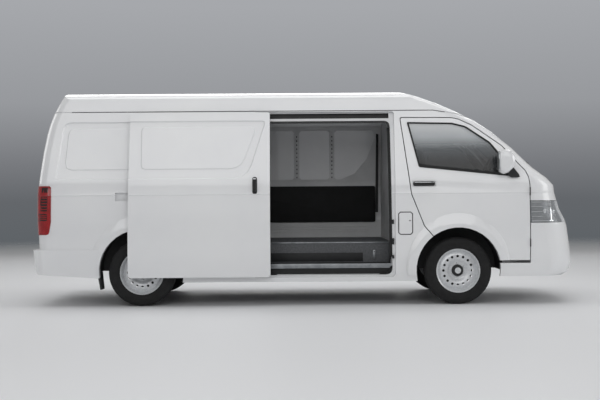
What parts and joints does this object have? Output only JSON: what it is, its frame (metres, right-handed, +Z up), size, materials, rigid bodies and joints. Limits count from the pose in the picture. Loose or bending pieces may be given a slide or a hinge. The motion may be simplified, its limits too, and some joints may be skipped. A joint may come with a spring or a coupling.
{
  "type": "electric panel van",
  "caption": "Long white electric cargo van with sloping nose, sliding side door standing open, hinged front doors, tailgate and bonnet, and steered, rolling wheels.",
  "frame": {"origin": "on the ground under the middle of the body", "axes": "+X forward, +Y to the van's left, +Z up"},
  "size_m": [5.412, 2.236, 2.143],
  "materials": {
    "body_white": "gloss",
    "dark_trim": "matte",
    "gloss_black": "gloss",
    "black_steel": "satin",
    "wheel_silver": "satin",
    "tyre": "matte",
    "window_glass": "gloss",
    "lamp_clear": "gloss",
    "lamp_red": "gloss",
    "load_floor": "satin",
    "liner_board": "matte",
    "seat_fabric": "matte",
    "cab_plastic": "matte",
    "battery_case": "satin"
  },
  "bodies": {
    "body": {"body_side_right": "body_white", "door_frame_right": "body_white", "pillar_panel_right": "body_white", "body_side_left": "body_white", "roof_panel": "body_white", "nose_panel": "body_white", "front_bumper": "body_white", "rear_bumper": "body_white", "grille": "gloss_black", "windscreen": "window_glass", "headlamps": "lamp_clear", "tail_lamps": "lamp_red", "sliding_door": "body_white", "bulkhead": "body_white", "floor_pan": "load_floor", "cab_floor": "dark_trim", "wheel_liners": "dark_trim", "mud_flaps": "dark_trim", "inner_frame": "load_floor", "chassis_frame": "black_steel", "cross_members": "black_steel", "battery_pack": "battery_case", "front_suspension": "black_steel", "rear_axle": "black_steel", "leaf_springs": "black_steel", "seats": "seat_fabric", "dashboard": "cab_plastic", "steering_wheel": "dark_trim", "load_liner": "liner_board", "slide_handle": "gloss_black", "charge_socket": "dark_trim", "door_rail": "black_steel", "door_carriers": "black_steel", "hinge_blocks": "black_steel"},
    "door_right": {"front_door_right": "body_white", "door_glass_right": "window_glass", "mirror_right": "body_white", "mirror_foot_right": "dark_trim", "handle_right": "gloss_black"},
    "door_left": {"front_door_left": "body_white", "door_glass_left": "window_glass", "mirror_left": "body_white", "mirror_foot_left": "dark_trim", "handle_left": "gloss_black"},
    "tailgate_lid": {"tailgate": "body_white", "tailgate_glass": "window_glass"},
    "bonnet_lid": {"bonnet": "body_white"},
    "flap": {"charge_flap": "body_white"},
    "steer_right_body": {"knuckle_right": "black_steel"},
    "steer_left_body": {"knuckle_left": "black_steel"},
    "roll_front_right": {"tyre_front_right": "tyre", "wheel_front_right": "wheel_silver"},
    "roll_front_left": {"tyre_front_left": "tyre", "wheel_front_left": "wheel_silver"},
    "roll_rear_right": {"tyre_rear_right": "tyre", "wheel_rear_right": "wheel_silver"},
    "roll_rear_left": {"tyre_rear_left": "tyre", "wheel_rear_left": "wheel_silver"}
  },
  "joints": [
    {"name": "front_door_right_hinge", "type": "hinge", "parent": "body", "child": "door_right", "pos_m": [2.1795, -0.9475, 1], "axis": [0, 0, 1], "range_deg": [0, 65]},
    {"name": "front_door_left_hinge", "type": "hinge", "parent": "body", "child": "door_left", "pos_m": [2.1795, 0.9475, 1], "axis": [0, 0, -1], "range_deg": [0, 65]},
    {"name": "tailgate_hinge", "type": "hinge", "parent": "body", "child": "tailgate_lid", "pos_m": [-2.54, 0, 1.9005], "axis": [0, 1, 0], "range_deg": [0, 85]},
    {"name": "bonnet_hinge", "type": "hinge", "parent": "body", "child": "bonnet_lid", "pos_m": [2.352, 0, 1.319], "axis": [0, -1, 0], "range_deg": [0, 50]},
    {"name": "charge_flap_hinge", "type": "hinge", "parent": "body", "child": "flap", "pos_m": [0.894, -0.947, 0.7965], "axis": [0, 0, -1], "range_deg": [0, 100]},
    {"name": "steer_right", "type": "hinge", "parent": "body", "child": "steer_right_body", "pos_m": [1.479, -0.74, 0.327], "axis": [0, 0, 1], "range_deg": [-32, 32]},
    {"name": "steer_left", "type": "hinge", "parent": "body", "child": "steer_left_body", "pos_m": [1.479, 0.74, 0.327], "axis": [0, 0, 1], "range_deg": [-32, 32]},
    {"name": "wheel_front_right_roll", "type": "hinge", "parent": "steer_right_body", "child": "roll_front_right", "pos_m": [1.479, -0.812, 0.327], "axis": [0, 1, 0], "continuous": true},
    {"name": "wheel_front_left_roll", "type": "hinge", "parent": "steer_left_body", "child": "roll_front_left", "pos_m": [1.479, 0.812, 0.327], "axis": [0, 1, 0], "continuous": true},
    {"name": "wheel_rear_right_roll", "type": "hinge", "parent": "body", "child": "roll_rear_right", "pos_m": [-1.621, -0.812, 0.327], "axis": [0, 1, 0], "continuous": true},
    {"name": "wheel_rear_left_roll", "type": "hinge", "parent": "body", "child": "roll_rear_left", "pos_m": [-1.621, 0.812, 0.327], "axis": [0, 1, 0], "continuous": true}
  ],
  "couplings": [
    {"joint": "steer_left", "follows": "steer_right", "ratio": 1}
  ]
}
